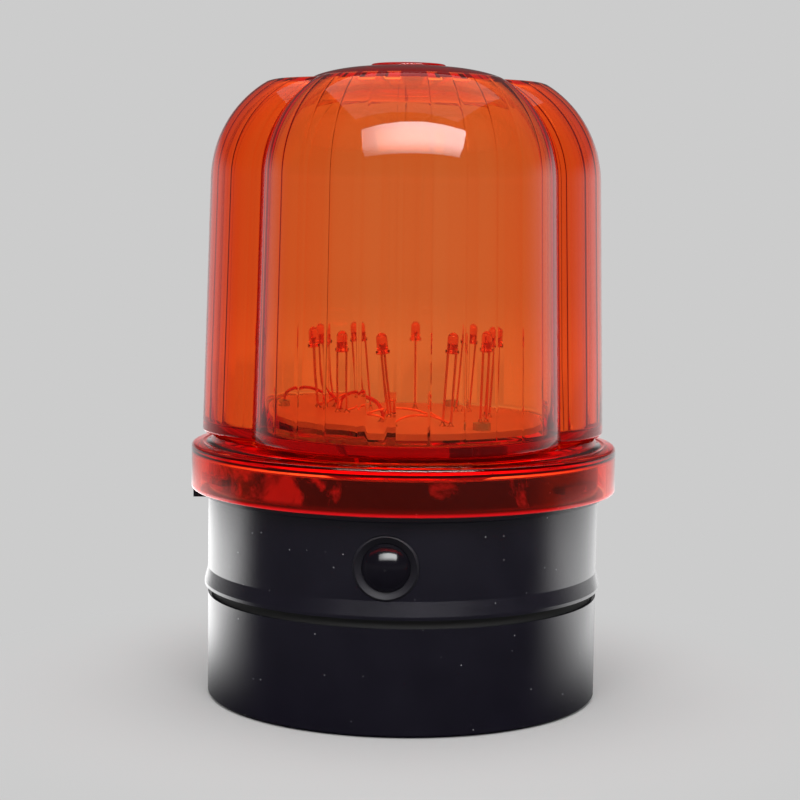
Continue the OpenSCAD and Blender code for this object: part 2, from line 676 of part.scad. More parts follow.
// D cell along X with its positive cap at +X
module cell() {
    rotate([0, 90, 0]) {
        difference() {
            translate([0, 0, -can_l / 2]) cylinder(r = cell_r, h = can_l);
            for (z = [-1, 1]) translate([0, 0, z * (can_l / 2 - 2.4)]) rotate_extrude()
                translate([cell_r + 0.4, 0]) circle(0.9, $fn = 32);
        }
        cylinder(d = cap_d, h = can_l / 2 + cap_h);
    }
}
module front_cell() { color([0.55, 0.57, 0.6]) translate([0, -cell_y, cell_z]) cell(); }
module rear_cell() { color([0.55, 0.57, 0.6]) translate([0, cell_y, cell_z]) rotate(180) cell(); }

// Two end plates with upright solder tags
module contact_plates() {
    color([0.78, 0.78, 0.74]) for (y = [-1, 1]) translate([-end_wall_x, y * cell_y, cell_z]) {
        translate([0, -contact_w / 2, -contact_w / 2]) cube([contact_t, contact_w, contact_w]);
        translate([0, -tag_w / 2, 0]) cube([contact_t, tag_w, tag_top - cell_z]);
    }
}

module contact_link() {
    color([0.78, 0.78, 0.74]) translate([contact_x, -cell_y - contact_w / 2, cell_z - contact_w / 2])
        cube([contact_t, 2 * cell_y + contact_w, contact_w]);
}

// Flat spiral springs, pressed to the height of a cell's cap
module contact_springs() {
    turns = 3;
    lift = cap_h - spring_wire_d;
    path = [for (i = [0 : 16 * turns]) let (t = i / (16 * turns), r = 5.6 - 3.4 * t)
        [r * cos(360 * turns * t), r * sin(360 * turns * t), spring_wire_d / 2 + lift * t]];
    color([0.75, 0.75, 0.72]) for (end = [-1, 1]) translate([end * contact_x, end * cell_y, cell_z])
        rotate([0, -end * 90, 0]) tube(path, spring_wire_d - fit, 6);
}

module cup_seal() {
    color([0.05, 0.05, 0.05]) translate([0, 0, cup_h]) difference() {
        cylinder(r = base_r - 0.9, h = seam_h);
        translate([0, 0, -1]) cylinder(r = spigot_r + fit, h = seam_h + 2);
    }
}

// Lower shell: wall, floor, magnet pocket, ribs and bayonet channels
module battery_cup() {
    pocket_r = magnet_r + fit;
    channel_r = spigot_r + cup_lug_out + turn_gap;
    groove_z = lug_z - turn_gap;
    groove_h = lug_h + 2 * turn_gap;
    margin = 1.5;
    color([0.09, 0.08, 0.1]) difference() {
        union() {
            rotate_extrude() polygon([[cup_bore_r, 0], [base_r - foot_bevel, 0], [base_r, foot_bevel],
                [base_r, cup_h], [cup_bore_r, cup_h], [cup_bore_r, floor_top], [0, floor_top], [0, floor_z],
                [cup_bore_r, floor_z]]);
            rotate_extrude() translate([pocket_r, 0]) square([shell_wall, floor_z + overlap]);
            for (k = [0 : foot_ribs - 1]) rotate(k * 360 / foot_ribs)
                translate([pocket_r + shell_wall / 2, -rib_t / 2, foot_bevel])
                    cube([cup_bore_r - pocket_r, rib_t, floor_z - foot_bevel + overlap]);
        }
        for (k = [0 : 2]) {
            sector(120 * k + cup_turn / 2, lug_arc + cup_turn + 2 * margin) translate([spigot_r, groove_z])
                square([channel_r - spigot_r, groove_h]);
            sector(120 * k + cup_turn, lug_arc + margin) translate([spigot_r, groove_z + groove_h / 2])
                square([channel_r + fit - spigot_r, cup_h]);
        }
        translate([0, 0, floor_z - 1]) cylinder(r = magnet_screw_r + fit, h = floor_t + 2);
    }
}

module magnet() {
    color([0.2, 0.2, 0.21]) difference() {
        cylinder(r = magnet_r, h = magnet_t);
        translate([0, 0, -1]) cylinder(r = magnet_bore_r, h = magnet_t + 2);
    }
}

module magnet_plate() {
    color([0.68, 0.69, 0.7]) translate([0, 0, magnet_t]) difference() {
        cylinder(r = magnet_r, h = plate_t);
        translate([0, 0, -1]) cylinder(r = magnet_screw_r + fit, h = plate_t + 2);
    }
}

module magnet_screw() {
    color([0.72, 0.72, 0.74]) translate([0, 0, floor_top])
        screw(magnet_screw_r, floor_t + plate_t + 2, 2 * magnet_screw_r, 1.2 * magnet_screw_r);
}

lens();
lens_gasket();
switch_housing();
lens_catch();
button_bezel();
button_cap();
switch_plunger();
switch_body();
switch_bracket();
bracket_screws();
circuit_board();
board_screws();
led(0);  // led_1
led(1);  // led_2
led(2);  // led_3
led(3);  // led_4
led(4);  // led_5
led(5);  // led_6
led(6);  // led_7
led(7);  // led_8
led(8);  // led_9
led(9);  // led_10
led_leads();
flasher_chip();
timing_capacitor();
resistors();
transistors();
supply_wire();
switched_wire();
return_wire();
battery_tray();
tray_screws();
front_cell();
rear_cell();
contact_plates();
contact_link();
contact_springs();
cup_seal();
battery_cup();
magnet();
magnet_plate();
magnet_screw();
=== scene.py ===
# %% [markdown]
# # A battery warning beacon
# A clear red lens with three fluted lobes stands on a round black base with a push button.
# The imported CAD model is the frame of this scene, and every piece below lies where the solid lies that it dresses.
# The lens and the LEDs are worked out again as smooth surfaces. The black shells, the button and the parts of the
# light board keep their solids and get finishes of their own.

# %% Load the frame and keep the size of the solids
import math
import bpy
import numpy as np
from mathutils import Matrix, Vector


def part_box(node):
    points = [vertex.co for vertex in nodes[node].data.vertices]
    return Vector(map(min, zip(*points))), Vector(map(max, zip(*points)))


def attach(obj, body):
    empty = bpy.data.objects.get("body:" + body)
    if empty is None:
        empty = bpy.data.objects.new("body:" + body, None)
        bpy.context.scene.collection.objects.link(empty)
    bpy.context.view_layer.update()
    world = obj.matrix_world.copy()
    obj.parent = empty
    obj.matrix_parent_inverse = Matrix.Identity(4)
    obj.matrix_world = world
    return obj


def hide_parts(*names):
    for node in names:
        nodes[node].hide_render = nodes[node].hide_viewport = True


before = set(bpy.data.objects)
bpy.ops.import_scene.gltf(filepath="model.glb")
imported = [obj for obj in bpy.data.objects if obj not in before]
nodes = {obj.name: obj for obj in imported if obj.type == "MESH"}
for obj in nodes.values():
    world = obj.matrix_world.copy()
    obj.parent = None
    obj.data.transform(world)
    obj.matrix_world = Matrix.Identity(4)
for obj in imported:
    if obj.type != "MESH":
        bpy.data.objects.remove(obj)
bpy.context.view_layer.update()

scene = bpy.context.scene

# %% [markdown]
# Every new surface here is a grid: rows run along a profile or a path, and columns run round it. One helper numbers
# the faces of such a grid, so that no step has to repeat it. A grid that is closed in both directions, or capped at
# its ends, has no open edge. A clear material needs that, because light has to enter and leave it.

# %% Helpers: a grid of points becomes a mesh
MM = 0.001


def grid_faces(rows, columns, loop_rows=False):
    """Corner numbers of the quads between neighbouring rows and columns. Columns always close to a ring, and rows
    do so where they are looped."""
    r = np.arange(rows if loop_rows else rows - 1)
    r, c = [a.ravel() for a in np.meshgrid(r, np.arange(columns), indexing="ij")]
    r2, c2 = (r + 1) % rows, (c + 1) % columns
    return np.stack([r * columns + c, r * columns + c2, r2 * columns + c2, r2 * columns + c], axis=1)


def capped_faces(rows, columns):
    """The quads of a grid, and one flat face each on its first and last row."""
    ring = np.arange(columns)
    caps = [ring[::-1].tolist(), ((rows - 1) * columns + ring).tolist()]
    return grid_faces(rows, columns).tolist() + caps


def make_mesh(name, points, faces, smooth_angle=35.0):
    """A mesh object from points in millimetres and a list of faces, smooth except across edges above the angle."""
    mesh = bpy.data.meshes.new(name)
    mesh.from_pydata((np.asarray(points) * MM).tolist(), [], [list(map(int, f)) for f in faces])
    mesh.validate()
    mesh.shade_smooth()
    mesh.set_sharp_from_angle(angle=math.radians(smooth_angle))
    piece = bpy.data.objects.new(name, mesh)
    scene.collection.objects.link(piece)
    return piece


print("helpers: grid_faces, capped_faces, make_mesh")

# %% [markdown]
# The camera stands half a metre in front of the beacon and a little to the right, at about the height of the
# lens, and looks slightly down. A 90 mm lens keeps the edges nearly upright, as in a product photograph. The small
# roll is the lean of the object in the picture.

# %% Camera
CAMERA_DISTANCE, CAMERA_HEIGHT = 0.520, 0.1275
CAMERA_AZIMUTH, CAMERA_PITCH, CAMERA_YAW, CAMERA_ROLL = np.radians([4.4, 5.6, 0.12, 0.75])
FOCAL_LENGTH, SENSOR_WIDTH = 90.0, 36.0
camera_data = bpy.data.cameras.new("camera")
camera_data.lens, camera_data.sensor_width = FOCAL_LENGTH, SENSOR_WIDTH
camera_data.clip_start = 0.01
camera = bpy.data.objects.new("camera", camera_data)
scene.collection.objects.link(camera)
camera.location = (CAMERA_DISTANCE * math.sin(CAMERA_AZIMUTH), -CAMERA_DISTANCE * math.cos(CAMERA_AZIMUTH),
                   CAMERA_HEIGHT)
camera.rotation_euler = (Matrix.Rotation(CAMERA_AZIMUTH + CAMERA_YAW, 3, "Z")
                         @ Matrix.Rotation(math.pi / 2 - CAMERA_PITCH, 3, "X")
                         @ Matrix.Rotation(CAMERA_ROLL, 3, "Z")).to_euler()
bpy.context.scene.camera = camera
print("camera at", [round(v, 3) for v in camera.location])

# %% [markdown]
# Materials and the world are trees of nodes. A few helpers add a node, link two sockets and do the small sums that
# come up again and again, so that each tree below reads as a list of what it mixes.

# %% Helpers: nodes
WHITE = (1.0, 1.0, 1.0, 1.0)


def link(tree, a, b):
    """One link between two sockets of a node tree."""
    tree.links.new(a, b)


def add(tree, kind, **values):
    """A new node of a kind, with inputs set by name and other properties by attribute."""
    node = tree.nodes.new(kind)
    for key, value in values.items():
        if key in node.inputs:
            node.inputs[key].default_value = value
        else:
            setattr(node, key, value)
    return node


def ramp(tree, source, low, high, out_low=0.0, out_high=1.0):
    """A smooth step of a value from one range to another; returns the output socket."""
    node = add(tree, "ShaderNodeMapRange", interpolation_type="SMOOTHSTEP")
    for key, value in (("From Min", low), ("From Max", high), ("To Min", out_low), ("To Max", out_high)):
        node.inputs[key].default_value = value
    link(tree, source, node.inputs["Value"])
    return node.outputs["Result"]


def calc(tree, operation, *sources):
    """The sum, product or size of one or two sockets; returns the output socket."""
    node = add(tree, "ShaderNodeMath", operation=operation)
    for place, source in enumerate(sources):
        link(tree, source, node.inputs[place])
    return node.outputs[0]


def parts_of(tree, vector):
    """The x, y and z of a vector, as output sockets by name."""
    node = add(tree, "ShaderNodeSeparateXYZ")
    link(tree, vector, node.inputs[0])
    return node.outputs


def mix_shader(tree, share, first, second):
    """A mix of two shaders by a share from 0 to 1; returns the output socket."""
    node = add(tree, "ShaderNodeMixShader")
    for place, source in enumerate((share, first, second)):
        link(tree, source, node.inputs[place])
    return node.outputs[0]


def mix_colour(tree, share, first, second):
    """A mix of two colours by a share from 0 to 1. Each is a colour or a socket; returns the output socket."""
    node = add(tree, "ShaderNodeMix", data_type="RGBA")
    link(tree, share, node.inputs["Factor"])
    for place, colour in (("A", first), ("B", second)):
        if isinstance(colour, tuple):
            node.inputs[place].default_value = (*colour, 1.0)
        else:
            link(tree, colour, node.inputs[place])
    return node.outputs["Result"]


def white_light(tree, kind, strength):
    """A white background or emission. Its strength is a number or a socket; returns the output socket."""
    node = add(tree, kind, Color=WHITE)
    if isinstance(strength, float):
        node.inputs["Strength"].default_value = strength
    else:
        link(tree, strength, node.inputs["Strength"])
    return node.outputs[0]


def new_material(name, bare=False):
    """A material and its tree of nodes, which is empty where the material is bare."""
    mat = bpy.data.materials.new(name)
    mat.use_nodes = True
    if bare:
        mat.node_tree.nodes.clear()
    return mat, mat.node_tree


def object_place(tree):
    """The object's own coordinates, as an output socket."""
    return add(tree, "ShaderNodeTexCoord").outputs["Object"]


print("helpers: link, add, ramp, calc, parts_of, mix_shader, mix_colour, white_light, new_material, object_place")

# %% [markdown]
# The beacon was photographed in a white light tent. The world repeats that by direction and by kind of ray. The
# camera sees an even pale grey. Through the clear lens it sees the same grey behind the beacon, a dimmer room in
# front of it and a bright ceiling. A reflection sees the cloth of the tent: pale at the back and the sides, more so
# on the right, dark at the front and darker overhead. That draws the pale edges on the black base. The light on the
# object itself is a soft fill.

# %% World
scene.view_settings.view_transform = "Standard"
PALE, FILL = 0.604, 0.62
TENT_FRONT, TENT_BACK, TENT_LEFT, TENT_RIGHT, TENT_OVERHEAD = 0.05, 0.55, 1.1, 1.5, 0.15
ROOM_FRONT, CEILING = 0.42, 0.9


def tent_light(tree, way):
    """How bright the tent is in a direction: the product of a step from front to back, a step from left to right
    and a step from level to overhead."""
    depth = ramp(tree, way["Y"], 0.10, 0.80, TENT_FRONT, TENT_BACK)
    side = ramp(tree, way["X"], -0.1, 0.7, TENT_LEFT, TENT_RIGHT)
    height = ramp(tree, way["Z"], 0.03, 0.22, 1.0, TENT_OVERHEAD)
    return calc(tree, "MULTIPLY", calc(tree, "MULTIPLY", depth, side), height)


world = bpy.data.worlds.new("light_tent")
scene.world = world
world.use_nodes = True
wt = world.node_tree
wt.nodes.clear()
world_ray = add(wt, "ShaderNodeLightPath").outputs
world_way = parts_of(wt, add(wt, "ShaderNodeTexCoord").outputs["Generated"])
room = ramp(wt, world_way["Y"], -0.6, 0.0, ROOM_FRONT, PALE)
ceiling = ramp(wt, world_way["Z"], 0.35, 0.75, 0.0, CEILING)
fill_light, tent_cloth, through_light, seen_light = [
    white_light(wt, "ShaderNodeBackground", strength)
    for strength in (FILL, tent_light(wt, world_way), calc(wt, "ADD", room, ceiling), PALE)]
world_light = mix_shader(wt, world_ray["Is Glossy Ray"], fill_light, tent_cloth)
world_light = mix_shader(wt, world_ray["Is Transmission Ray"], world_light, through_light)
world_light = mix_shader(wt, world_ray["Is Camera Ray"], world_light, seen_light)
link(wt, world_light, add(wt, "ShaderNodeOutputWorld").inputs["Surface"])
print("world: pale", PALE, "fill", FILL)

# %% [markdown]
# The floor is a wide disc. Near the beacon it is an ordinary matt surface that takes a soft shadow. Further out it
# turns into the same even grey as the world, so that no horizon shows. Its mesh is a set of rings that lie closer
# together near the middle.

# %% Floor: the disc
FLOOR_RADIUS, FLOOR_RINGS, FLOOR_COLUMNS, FLOOR_DROP = 3000.0, 24, 96, 0.0002


def disc_grid(radius, rings, columns):
    """Rings of points about the origin; the radius grows with the square of the ring's number."""
    t = np.linspace(0.004, 1.0, rings)[:, None] ** 2 * radius
    a = np.linspace(0.0, 2 * np.pi, columns, endpoint=False)[None, :]
    return np.stack([t * np.cos(a), t * np.sin(a), 0 * t * a], axis=-1).reshape(-1, 3)


floor_points = np.vstack([disc_grid(FLOOR_RADIUS, FLOOR_RINGS, FLOOR_COLUMNS), [[0, 0, 0]]])
floor_ring = np.arange(FLOOR_COLUMNS)
floor_hub = np.full(FLOOR_COLUMNS, len(floor_points) - 1)
hub_faces = np.stack([floor_hub, floor_ring, (floor_ring + 1) % FLOOR_COLUMNS], axis=1)
floor = make_mesh("floor", floor_points,
                  grid_faces(FLOOR_RINGS, FLOOR_COLUMNS)[:, ::-1].tolist() + hub_faces.tolist())
floor.location.z = -FLOOR_DROP
print("floor radius", FLOOR_RADIUS, "mm")

# %% [markdown]
# Glossy and clear pieces show the floor too, and there it is the table of the light tent. Reflections see it bright
# behind the beacon and on both sides, and dark towards the camera, which whitens the edges of the base and leaves its
# middle black. Further away it passes into the cloth of the tent. Through the lens the table is pale behind the
# beacon and dim in front of it.

# %% Floor: its finish
FLOOR_GREY = (0.64, 0.64, 0.64, 1.0)
TABLE_FRONT, TABLE_BACK, TABLE_LEFT, TABLE_RIGHT, TABLE_MIDDLE = 0.02, 2.0, 1.3, 0.8, 0.15
THROUGH_FRONT, THROUGH_BACK = 0.26, 0.74
SHADOW_RANGE, CLOTH_RANGE, FRONT_RANGE, BACK_RANGE = (0.056, 0.13), (0.25, 0.50), (0.7, 1.4), (0.7, 2.6)
floor_mat, ft = new_material("floor_pale", bare=True)
floor_place = object_place(ft)
floor_xyz = parts_of(ft, floor_place)
floor_length = add(ft, "ShaderNodeVectorMath", operation="LENGTH")
link(ft, floor_place, floor_length.inputs[0])
from_axis = floor_length.outputs["Value"]

floor_lit = add(ft, "ShaderNodeBsdfDiffuse", Color=FLOOR_GREY).outputs[0]
floor_even = white_light(ft, "ShaderNodeEmission", PALE)
floor_seen = mix_shader(ft, ramp(ft, from_axis, *SHADOW_RANGE), floor_lit, floor_even)

near_depth = ramp(ft, floor_xyz["Y"], -0.05, 0.07, TABLE_FRONT, TABLE_BACK)
near_side = ramp(ft, floor_xyz["X"], -0.08, 0.08, TABLE_LEFT, TABLE_RIGHT)
near_middle = ramp(ft, calc(ft, "ABSOLUTE", floor_xyz["X"]), 0.03, 0.11, TABLE_MIDDLE, 1.0)
near_light = calc(ft, "MULTIPLY", near_depth, calc(ft, "MULTIPLY", near_side, near_middle))
outward = add(ft, "ShaderNodeVectorMath", operation="NORMALIZE")
link(ft, floor_place, outward.inputs[0])
far_light = tent_light(ft, parts_of(ft, outward.outputs[0]))
table_light = add(ft, "ShaderNodeMix", data_type="FLOAT")
for place, source in (("Factor", ramp(ft, from_axis, *CLOTH_RANGE)), ("A", near_light), ("B", far_light)):
    link(ft, source, table_light.inputs[place])
floor_mirrored = white_light(ft, "ShaderNodeEmission", table_light.outputs["Result"])

in_front = calc(ft, "MULTIPLY", ramp(ft, floor_xyz["Y"], -0.12, 0.0, 1.0, 0.0),
                ramp(ft, from_axis, *FRONT_RANGE, 1.0, 0.0))
behind = white_light(ft, "ShaderNodeEmission", ramp(ft, from_axis, *BACK_RANGE, THROUGH_BACK, PALE))
floor_through = mix_shader(ft, in_front, behind, white_light(ft, "ShaderNodeEmission", THROUGH_FRONT))

floor_ray = add(ft, "ShaderNodeLightPath").outputs
floor_light = mix_shader(ft, floor_ray["Is Glossy Ray"], floor_seen, floor_mirrored)
floor_light = mix_shader(ft, floor_ray["Is Transmission Ray"], floor_light, floor_through)
link(ft, floor_light, add(ft, "ShaderNodeOutputMaterial").inputs["Surface"])
floor.data.materials.append(floor_mat)
print("floor finish:", floor_mat.name)

# %% [markdown]
# A wide softbox hangs above the camera. Its reflection is the pale rectangle on the front shoulder of the lens. The
# lamps that light the object are kept weak, so that colours come out as they are written, and a card that only
# reflections can see gives the rectangle its brightness.

# %% Lamps


def soft_lamp(name, place, aim, size, watts):
    """A rectangular area lamp at a place, turned to look at a point; sizes and places in metres."""
    data = bpy.data.lights.new(name, "AREA")
    data.shape, data.size, data.size_y, data.energy = "RECTANGLE", size[0], size[1], watts
    lamp = bpy.data.objects.new(name, data)
    lamp.location = place
    lamp.rotation_euler = (Vector(aim) - Vector(place)).to_track_quat("-Z", "Y").to_euler()
    scene.collection.objects.link(lamp)


def card(name, centre, across, up, size, strength):
    """A flat card that only reflections see: four corners from its centre and its two half-edges, in metres. It is
    brightest at its upper right and fades to the left and downwards, as a lamp behind cloth does."""
    c = Vector(centre)
    a, u = Vector(across).normalized() * size[0] / 2, Vector(up).normalized() * size[1] / 2
    piece = make_mesh(name, np.array([c - a - u, c + a - u, c + a + u, c - a + u]) / MM, [[0, 1, 2, 3]])
    mat, tree = new_material(name, bare=True)
    spot = parts_of(tree, object_place(tree))
    sideways = ramp(tree, spot["X"], c.x - size[0] * 0.55, c.x, 0.35, 1.0)
    upwards = ramp(tree, spot["Z"], c.z - size[1] * 0.42, c.z, 0.3 * strength, strength)
    glow = white_light(tree, "ShaderNodeEmission", calc(tree, "MULTIPLY", sideways, upwards))
    link(tree, glow, add(tree, "ShaderNodeOutputMaterial").inputs["Surface"])
    piece.data.materials.append(mat)
    piece.visible_camera = piece.visible_diffuse = piece.visible_shadow = piece.visible_transmission = False


soft_lamp("softbox_front", place=(0.06, -0.80, 0.80), aim=(0.0, 0.0, 0.10), size=(0.9, 0.4), watts=5.0)
soft_lamp("top_fill", place=(0.0, 0.1, 1.1), aim=(0.0, 0.0, 0.1), size=(1.4, 1.2), watts=3.0)
card("softbox_card", centre=(0.09, -0.72, 0.72), across=(1.0, 0.12, 0.0), up=(0.0, 0.64, 0.77), size=(1.30, 0.50),
     strength=11.5)

# %% [markdown]
# The lens is one moulding. Seen from above, its body is three circles of the same size, each pushed out from the
# axis, and their outline is followed all the way round. For an angle off a lobe's own direction, the distance from
# the axis to that circle has a closed formula, so the whole lens can be one grid: the rows walk along its profile,
# up the outside from the skirt to the top and down the inside again, and the columns go round. Rows on the flange,
# the neck and the crown use a plain circle instead of the lobes. The disc on the crown is worn down a little.

# %% Lens: sizes and the outline of the three lobes
lens_low, lens_high = [np.array(v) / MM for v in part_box("lens")]
FLANGE_R, SKIRT_Z, TOP_Z = lens_high[0], lens_low[2], lens_high[2]
SEAT_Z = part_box("lens_gasket")[1][2] / MM
FLANGE_T, NECK_H, NECK_IN, LENS_WALL = 2.4, 2.1, 5.5, 2.5
SKIRT_WALL, LOBE_SHIFT, RIM_STEP, LOBE_DRAFT = 2.2, 15.6, 0.2, 1.8
SHOULDER_R, SHOULDER_ARC, CROWN_H = 30.0, math.radians(60.0), 3.4
DISC_R, DISC_H, DISC_WORN = 9.7, 1.9, 1.2
LENS_AZ, FLUTE_PITCH, LOBES = 6.4, 13.2, 3
HALF_LOBE, FULL_LOBE = np.pi / LOBES, 2 * np.pi / LOBES
FLANGE_Z = SEAT_Z + FLANGE_T
LOBE_Z = FLANGE_Z + NECK_H
LEDGE_Z = LOBE_Z + LENS_WALL
CROWN_Z = TOP_Z - DISC_H
DISC_TOP = TOP_Z - DISC_WORN
EDGE_Z = CROWN_Z - CROWN_H
SHOULDER_Z = EDGE_Z - SHOULDER_R * math.sin(SHOULDER_ARC)
LOBE_H = SHOULDER_Z - LOBE_Z
NECK_R = FLANGE_R - NECK_IN
LOBE_R = FLANGE_R - RIM_STEP - LOBE_SHIFT
SKIRT_BORE = FLANGE_R - SKIRT_WALL


def lobe_outline(lobe_r, phi):
    """Distance from the lens axis to a circle of radius lobe_r whose centre is LOBE_SHIFT out, at the angle phi off
    that direction: shift times cosine, plus the root of radius squared minus (shift times sine) squared."""
    return LOBE_SHIFT * np.cos(phi) + np.sqrt(np.maximum(lobe_r ** 2 - (LOBE_SHIFT * np.sin(phi)) ** 2, 0.0))


def notch(lobe_r):
    """Distance from the lens axis to the notch between two lobes, which is their outline at 60 degrees: half the
    shift, plus the root of radius squared minus three quarters of the shift squared."""
    return LOBE_SHIFT / 2 + math.sqrt(lobe_r ** 2 - 0.75 * LOBE_SHIFT ** 2)


NECK_BORE = notch(LOBE_R - LENS_WALL) - 0.25
print("lens radius", round(FLANGE_R, 2), "top", round(TOP_Z, 2), "lobe radius", round(LOBE_R, 2))

# %% [markdown]
# The flutes are upright panels in the inner face. Each is a little thicker or thinner than the next, and a fine ridge
# stands between two of them, which shows as soft bands and thin dark lines in the colour. The wall is also a little
# thinner in the front lobe than in the rear ones, so the wings are a deeper red than the middle. All of it is one
# depth that depends on the angle alone, and it is added to the rows of the inner wall.

# %% Lens: the panels of the inner wall
WALL_R = LOBE_R - LENS_WALL - LOBE_DRAFT / 2
PANEL_COUNT = 31
MIDDLE_PANEL = PANEL_COUNT // 2
PANELS = np.random.default_rng(7).uniform(-1.0, 1.0, (LOBES, PANEL_COUNT))
RIDGE_SHARE = np.array([[0.5], [1.5], [1.5]])
RIDGES = np.random.default_rng(8).uniform(0.1, 1.0, (LOBES, PANEL_COUNT)) ** 2 * RIDGE_SHARE
RIDGES[0] = RIDGES[0, ::-1]
PANEL_STEP, PANEL_HOLLOW, RIDGE, RIDGE_WIDTH = 0.18, 0.05, 0.24, 0.035
THINNER = np.array([0.45, -0.45, -0.45])
NUDGE = 1e-9


def panel_depth(theta, phi):
    """How far the upright panels of the inner wall cut into it. The angle is first seen from the lobe's own centre,
    at half the height of the wall, and counted in panels. Each panel has a small depth of its own, from a fixed
    table, and a slight hollow: one minus the square of the way from its middle to its edge. Between two panels
    stands a fine ridge: a bell curve of the distance to the edge. Last comes the share by which the whole lobe is
    thinner, which fades with the sixth power of the angle towards the notches."""
    reach = lobe_outline(WALL_R, phi)
    count = np.arctan2(reach * np.sin(phi), reach * np.cos(phi) - LOBE_SHIFT) / math.radians(FLUTE_PITCH)
    number = np.floor(count + 0.5)
    lobe = np.floor((theta + HALF_LOBE + NUDGE) / FULL_LOBE).astype(int) % LOBES
    panel_at = np.clip(number.astype(int) + MIDDLE_PANEL, 0, PANEL_COUNT - 1)
    ridge_at = np.clip(np.floor(count).astype(int) + MIDDLE_PANEL, 0, PANEL_COUNT - 1)
    edge = 0.5 - np.abs(count - number)
    hollow = PANEL_HOLLOW * (1.0 - (2.0 * (count - number)) ** 2)
    ridge = RIDGE * RIDGES[lobe, ridge_at] * np.exp(-((edge / RIDGE_WIDTH) ** 2))
    uneven = THINNER[lobe] * (1.0 - (np.abs(phi) / HALF_LOBE) ** 6)
    return PANEL_STEP * PANELS[lobe, panel_at] + hollow - ridge + uneven


print("panels:", PANEL_COUNT, "depths per lobe, ridge", RIDGE, "mm")

# %% [markdown]
# The profile is a list of rows. Each row has a height, a radius for the plain circle or for the lobes, a switch
# that says which of the two it is, and how much of the panels it shows. Tight pairs of rows keep edges crisp, and a
# few tenths of a millimetre of rounding on them catch the light as a moulded edge does.

# %% Lens: the outside of the profile
EDGE, FLANGE_ROUND, FLANGE_RISE, NECK_FILLET = 0.25, 0.9, 0.15, 1.6
LOBE_ROUND, CROWN_STEP, DISC_ROUND, POLE_R = 0.8, 0.12, 0.6, 0.6
rows = []


def circle_row(r, z):
    """A row on a plain circle about the lens axis."""
    rows.append((r, z, 0.0, 0.0))


def lobe_row(r, z, flute=0.0):
    """A row on the outline of three lobes of radius r, with a share of the panels' depth."""
    rows.append((r, z, 1.0, flute))


def arc(row, centre, radius, start, end, steps, **share):
    """Rows of one kind along an arc of the profile between two angles in degrees, both ends included."""
    for a in np.radians(np.linspace(start, end, steps)):
        row(centre[0] + radius * np.cos(a), centre[1] + radius * np.sin(a), **share)


# The skirt, the flange and the neck
circle_row(SKIRT_BORE + EDGE, SKIRT_Z)
circle_row(FLANGE_R - 3 * EDGE, SKIRT_Z)
arc(circle_row, (FLANGE_R - 2 * EDGE, SKIRT_Z + 2 * EDGE), 2 * EDGE, -80, 0, 5)
for z in np.linspace(SKIRT_Z + 1, FLANGE_Z - 1.4, 8):
    circle_row(FLANGE_R, z)
arc(circle_row, (FLANGE_R - FLANGE_ROUND, FLANGE_Z - FLANGE_ROUND), FLANGE_ROUND, 0, 88, 8)
circle_row(NECK_R + NECK_FILLET + 1.0, FLANGE_Z + FLANGE_RISE)
arc(circle_row, (NECK_R + NECK_FILLET + 0.3, FLANGE_Z + NECK_FILLET + FLANGE_RISE), NECK_FILLET, 295, 190, 7)
circle_row(NECK_R, LOBE_Z - 0.05)

# The lobes and their shoulder
LOBE_TOP_R = LOBE_R - LOBE_DRAFT
CROWN_EDGE_R = LOBE_TOP_R - SHOULDER_R * (1 - math.cos(SHOULDER_ARC))
lobe_row(LOBE_R - 1.2, LOBE_Z)
arc(lobe_row, (LOBE_R - LOBE_ROUND, LOBE_Z + LOBE_ROUND), LOBE_ROUND, 275, 360, 6)
for t in np.linspace(0.04, 1.0, 5):
    lobe_row(LOBE_R - LOBE_DRAFT * t, LOBE_Z + LOBE_H * t)
arc(lobe_row, (LOBE_TOP_R - SHOULDER_R, SHOULDER_Z), SHOULDER_R, 3, 58.5, 18)
lobe_row(CROWN_EDGE_R - 0.5, EDGE_Z)

# The crown and its disc
CROWN_R = notch(CROWN_EDGE_R) - 0.7
circle_row(CROWN_R, EDGE_Z + CROWN_STEP)
for t in np.linspace(0.06, 0.96, 10):
    rise = (CROWN_H - 0.2) * math.sin(t * math.pi / 2) ** 0.7
    circle_row(CROWN_R + (DISC_R - CROWN_R) * t, EDGE_Z + CROWN_STEP + rise)
circle_row(DISC_R + 0.3, CROWN_Z - 0.02)
arc(circle_row, (DISC_R - DISC_ROUND, DISC_TOP - DISC_ROUND), DISC_ROUND, 10, 86, 6)
circle_row(DISC_R * 0.5, DISC_TOP)
circle_row(POLE_R, DISC_TOP)
outside_rows = len(rows)
print("lens outside:", outside_rows, "rows")

# %% [markdown]
# The inside follows at the distance of one wall: a flat ceiling, the shoulder and the wall with their panels, the
# ledge above the neck, the bore and the inner face of the skirt. Its last row meets the first row of the outside.

# %% Lens: the inside of the profile
INNER_SHOULDER_R = SHOULDER_R - LENS_WALL
CEILING_Z = SHOULDER_Z + INNER_SHOULDER_R * math.sin(SHOULDER_ARC)
BORE_EDGE, SEAT_EDGE = 0.3, 0.4
for r in (POLE_R, 8.0, 16.0):
    circle_row(r, CEILING_Z)
arc(lobe_row, (LOBE_TOP_R - SHOULDER_R, SHOULDER_Z), INNER_SHOULDER_R, 59.0, 3, 18, flute=1.0)
for t in np.linspace(1.0, 0.06, 5):
    lobe_row(LOBE_R - LENS_WALL - LOBE_DRAFT * t, LOBE_Z + LOBE_H * t, 1.0)
arc(lobe_row, (LOBE_R - LENS_WALL - LOBE_ROUND, LEDGE_Z + LOBE_ROUND), LOBE_ROUND, 0, -85, 6)
circle_row(NECK_BORE + BORE_EDGE, LEDGE_Z)
circle_row(NECK_BORE, LEDGE_Z - BORE_EDGE)
circle_row(NECK_BORE, SEAT_Z + BORE_EDGE)
